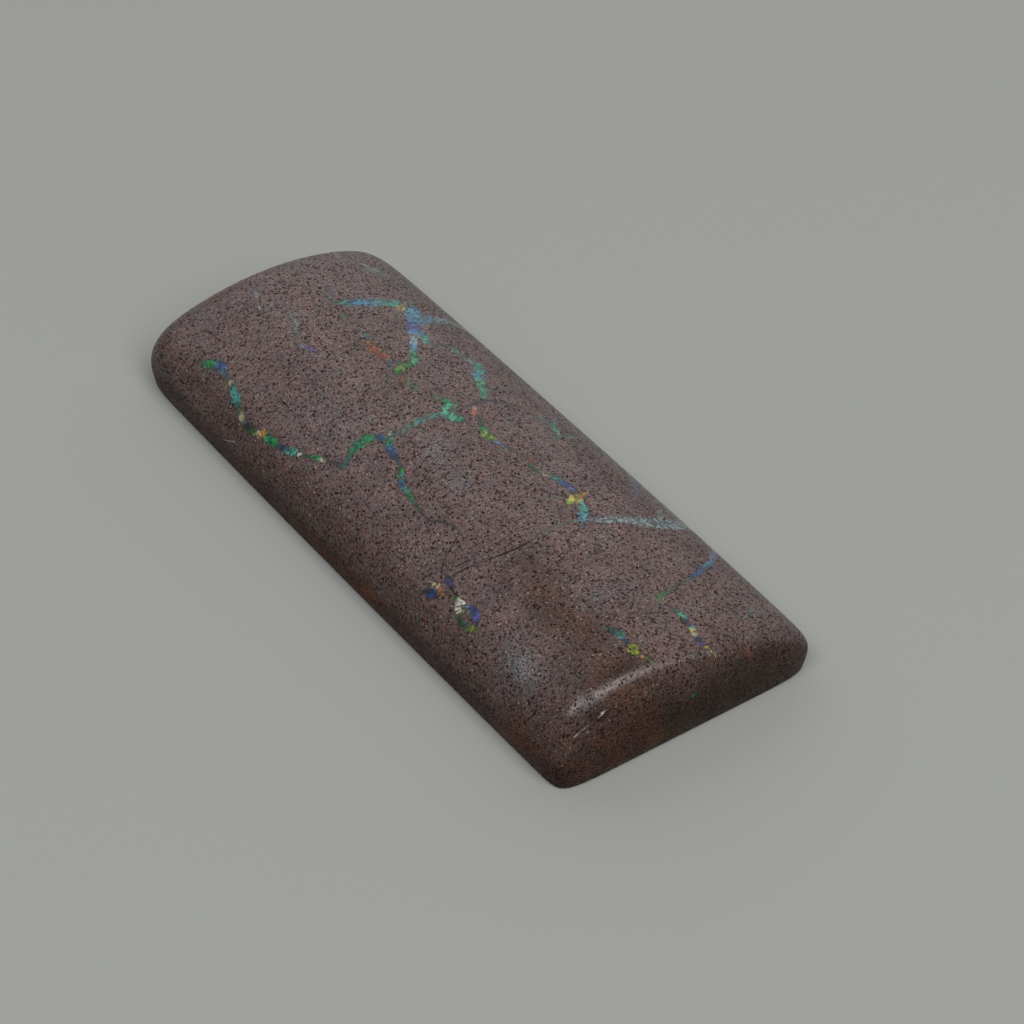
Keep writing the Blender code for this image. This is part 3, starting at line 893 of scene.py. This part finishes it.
# The play of colour: flecks that turn the seam's tone about
def playGroup():
    group, given, wanted = newGroup("playOfColour", [
        ("Place", "Vector"),
        ("Tone", "Color"),
        ("Fleck Size", "Float", opalPlay["fleck"]),
        ("Play", "Float", 1.0),
    ], [("Color", "Color")])
    scale = maths(group, "DIVIDE", 1 / mm, given["Fleck Size"])
    inputs = {"Vector": given["Place"], "Scale": scale, "Randomness": 1.0}
    cells = place(group, "TexVoronoi", inputs).outputs["Color"]
    draw = place(group, "SeparateColor", {"Color": cells}).outputs
    turn = maths(group, "SUBTRACT", draw[0], 0.5)
    turn = maths(group, "MULTIPLY", turn, opalPlay["hues"])
    hue = maths(group, "ADD", maths(group, "MULTIPLY", turn, given["Play"]), 0.5)
    shade = place(group, "HueSaturation", {
        "Hue": hue,
        "Saturation": opalPlay["saturation"],
        "Value": ramp(group, draw[1], 0.0, 1.0, *opalPlay["values"]),
        "Color": given["Tone"],
    })
    feed(group, shade.outputs[0], wanted["Color"])
    return group


stoneFinish = {
    # Grains: size in mm, radius as a share of it, ragged edge and strength
    "darkGrain": {"size": 0.118, "radius": 0.48, "ragged": 0.6, "depth": 1.0},
    "fineGrain": {"size": 0.085, "radius": 0.40, "ragged": 0.3, "depth": 0.7},
    "paleGrain": {"size": 0.20, "radius": 0.21, "ragged": 0.2, "depth": 0.4},
    # Noises: size in mm, then the stretch of the noise that is used and what it becomes
    "mottle": {"size": 1.3, "detail": 3.0, "roughness": 0.6, "span": (0.32, 0.68, 0.84, 1.18)},
    "cast": {"size": 0.55, "detail": 3.0, "roughness": 0.7, "span": (0.35, 0.65, 0.0, 1.0)},
    "grit": {"size": 0.08, "detail": 1.0, "roughness": 0.6, "span": (0.32, 0.68, 0.62, 1.4)},
    "wander": {"size": 0.16, "detail": 2.0, "roughness": 0.6, "span": (0.28, 0.72, -0.55, 0.75)},
    "grainTone": (0.014, 0.007, 0.005, 1.0),
    "paleTone": (0.33, 0.28, 0.26, 1.0),
    "crackTone": (0.020, 0.014, 0.012, 1.0),
    "warmTint": (1.13, 0.97, 0.90, 1.0),
    "coolTint": (0.92, 1.00, 1.03, 1.0),
    "roughness": 0.55,
    "specular": 0.05,
    "polish": 0.34,  # roughness of the polish
    "bumpStrength": 0.5,
    "bumpDepth": 0.010,  # mm
    "rimDepth": 0.45,  # how dark the ironstone is right beside a seam
    "opalPits": 0.4,  # how dark the grains are within a seam
    "seamSoftness": 0.03,  # mm
    "crackSoftness": 0.022,
    "crackDepth": 0.95,
}


def stoneMaterial():
    material = bpy.data.materials.new("polishedBoulderOpal")
    material.use_nodes = True
    tree = material.node_tree
    shader = tree.nodes["Principled BSDF"]
    at = place(tree, "TexCoord").outputs["Object"]
    grain, band, play = grainGroup(), bandGroup(), playGroup()
    finish = stoneFinish

    def grains(kind):
        values = finish[kind]
        mask = place(tree, "Group", {
            "Place": at,
            "Grain Size": values["size"],
            "Radius": values["radius"],
            "Ragged": values["ragged"],
        }, node_tree=grain).outputs["Mask"]
        return maths(tree, "MULTIPLY", mask, values["depth"])

    def noise(kind):
        values = finish[kind]
        cloud = place(tree, "TexNoise", {
            "Vector": at,
            "Scale": 1 / (values["size"] * mm),
            "Detail": values["detail"],
            "Roughness": values["roughness"],
        }).outputs["Fac"]
        return ramp(tree, cloud, *values["span"])

    def attribute(name):
        return place(tree, "Attribute", attribute_name=name).outputs

    # Ironstone: its zones (painted sheen and painted shade among them), mottling, dark grain and
    # pale grain
    tint = attribute("groundTint")
    cast = blend(tree, noise("cast"), finish["coolTint"], finish["warmTint"])
    ground = blend(tree, 1.0, tint["Color"], noise("mottle"), "MULTIPLY")
    ground = blend(tree, 1.0, ground, cast, "MULTIPLY")
    ground = blend(tree, 1.0, ground, noise("grit"), "MULTIPLY")
    pits = maths(tree, "MAXIMUM", grains("darkGrain"), grains("fineGrain"))
    ground = blend(tree, pits, ground, finish["grainTone"])
    pale = maths(tree, "MULTIPLY", grains("paleGrain"), tint["Alpha"])
    ground = blend(tree, pale, ground, finish["paleTone"])

    # Opal seams over it, with the painted sheen line along the back shoulder
    wander = noise("wander")

    def bands(acrossName, widthName, softness, layers):
        across = place(tree, "SeparateXYZ", {0: attribute(acrossName)["Vector"]}).outputs
        width = place(tree, "SeparateXYZ", {0: attribute(widthName)["Vector"]}).outputs
        found = []
        for layer in range(layers):
            inputs = {"Across": across[layer], "Half Width": width[layer],
                      "Wander": wander, "Softness": softness}
            outputs = place(tree, "Group", inputs, node_tree=band).outputs
            masks = [outputs["Mask"], outputs["Rim"]]
            found = [maths(tree, "MAXIMUM", *pair) for pair in zip(found, masks)] or masks
        return found

    seam, rim = bands("seamAcross", "seamWidth", finish["seamSoftness"], 3)
    tone = attribute("seamTone")
    rim = maths(tree, "MULTIPLY", rim, tone["Alpha"])
    rim = maths(tree, "MULTIPLY", rim, finish["rimDepth"])
    ground = blend(tree, rim, ground, finish["crackTone"])
    inputs = {0: tone["Color"], "Scale": lineFinish["light"]}
    light = place(tree, "VectorMath", inputs, operation="SCALE").outputs[0]
    opal = place(tree, "Group", {"Place": at, "Tone": light}, node_tree=play).outputs["Color"]
    seam = maths(tree, "MULTIPLY", seam, tone["Alpha"])
    opal = blend(tree, maths(tree, "MULTIPLY", pits, finish["opalPits"]), opal, finish["crackTone"])
    colour = blend(tree, seam, ground, opal)
    crack = bands("crackAcross", "crackWidth", finish["crackSoftness"], 2)[0]
    darkened = maths(tree, "MULTIPLY", crack, finish["crackDepth"])
    colour = blend(tree, darkened, colour, finish["crackTone"])
    feed(tree, colour, shader.inputs["Base Color"])

    # Polish: none in the dark grains and cracks, and less on the sides
    openGround = maths(tree, "MULTIPLY", pits, maths(tree, "SUBTRACT", 1.0, seam))
    height = maths(tree, "SUBTRACT", 1.0, maths(tree, "MAXIMUM", openGround, crack))
    feed(tree, maths(tree, "MULTIPLY", height, tint["Alpha"]), shader.inputs["Coat Weight"])
    shader.inputs["Coat Roughness"].default_value = finish["polish"]
    shader.inputs["Roughness"].default_value = finish["roughness"]
    shader.inputs["Specular IOR Level"].default_value = finish["specular"]
    bump = place(tree, "Bump", {
        "Strength": finish["bumpStrength"],
        "Distance": finish["bumpDepth"] * mm,
        "Height": height,
    })
    feed(tree, bump.outputs[0], shader.inputs["Normal"])
    return material


# Soft studio light: a half ring of large lights behind the stone
studio = {
    "sky": {"colour": (0.92, 0.97, 1.0), "strength": 0.13},
    "lights": {  # degrees, metres and watts
        "rightBack": {"azimuth": 98, "elevation": 32, "size": (0.56, 0.78), "power": 0.66},
        "back": {"azimuth": 143, "elevation": 32, "size": (0.56, 0.78), "power": 0.94},
        "leftBack": {"azimuth": 188, "elevation": 38, "size": (0.56, 0.50), "power": 0.60},
        "leftSide": {"azimuth": 233, "elevation": 42, "size": (0.50, 0.50), "power": 0.24},
        "cornerGlint": {"azimuth": -68, "elevation": 58, "size": (0.36, 0.30), "power": 2.4},
        "glint": {"azimuth": 5, "elevation": 50, "size": (0.32, 0.52), "power": 3.5},
    },
    "lightDistance": 0.70,
    "lightColour": (1.0, 1.0, 0.985),
    "floorSize": 1.2,
    "floorColour": (0.268, 0.273, 0.263, 1.0),
    "floorRoughness": 0.75,
    "floorSpecular": 0.2,
}

def floorMaterial():
    material = bpy.data.materials.new("studioFloor")
    material.use_nodes = True
    shader = material.node_tree.nodes["Principled BSDF"]
    shader.inputs["Base Color"].default_value = studio["floorColour"]
    shader.inputs["Roughness"].default_value = studio["floorRoughness"]
    shader.inputs["Specular IOR Level"].default_value = studio["floorSpecular"]
    return material


def outwards(azimuth, elevation):
    azimuth, elevation = math.radians(azimuth), math.radians(elevation)
    level = math.cos(elevation)
    return Vector((math.cos(azimuth) * level, math.sin(azimuth) * level, math.sin(elevation)))


def addStudio():
    deselectAll()
    bpy.ops.mesh.primitive_plane_add(size=studio["floorSize"])
    floor = bpy.context.object
    floor.name = "studioFloor"
    floor.data.materials.append(floorMaterial())

    world = bpy.data.worlds.new("studioSky")
    world.use_nodes = True
    sky = world.node_tree.nodes["Background"]
    sky.inputs["Color"].default_value = (*studio["sky"]["colour"], 1.0)
    sky.inputs["Strength"].default_value = studio["sky"]["strength"]
    bpy.context.scene.world = world

    for name, values in studio["lights"].items():
        direction = outwards(values["azimuth"], values["elevation"])
        bpy.ops.object.light_add(type="AREA", location=direction * studio["lightDistance"])
        lamp = bpy.context.object
        lamp.name = name + "Light"
        lamp.rotation_euler = direction.to_track_quat("Z", "Y").to_euler()
        lamp.data.shape = "RECTANGLE"
        lamp.data.size, lamp.data.size_y = values["size"]
        lamp.data.energy = values["power"]
        lamp.data.color = studio["lightColour"]


# Camera, from where the photograph was taken
shot = {
    "aim": (1.495, 2.016, 0.0),  # mm, on the floor
    "azimuth": -37.308,  # degrees from +X
    "elevation": 43.395,
    "roll": 0.87,
    "distance": 112.663,  # mm
    "lens": 86.66,
    "sensor": 36.0,
}

def addCamera():
    direction = outwards(shot["azimuth"], shot["elevation"])
    bpy.ops.object.camera_add()
    camera = bpy.context.object
    turn = direction.to_track_quat("Z", "Y").to_matrix().to_4x4()
    roll = Matrix.Rotation(math.radians(shot["roll"]), 4, "Z")
    spot = (Vector(shot["aim"]) + direction * shot["distance"]) * mm
    camera.matrix_world = Matrix.Translation(spot) @ turn @ roll
    camera.data.sensor_width = shot["sensor"]
    camera.data.lens = shot["lens"]
    camera.data.clip_start = mm
    bpy.context.scene.camera = camera


stone = makeStone()
print("stone:", len(stone.data.polygons), "faces")
laySeams(stone)
layCracks(stone)
tintGround(stone)
stone.data.materials.append(stoneMaterial())
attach(stone, "root")
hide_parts("opal_stone")
print("seams laid:", len(seams), "and", len(cracks), "cracks")

addStudio()
addCamera()
bpy.context.scene.view_settings.view_transform = "Standard"
print("studio and camera set")
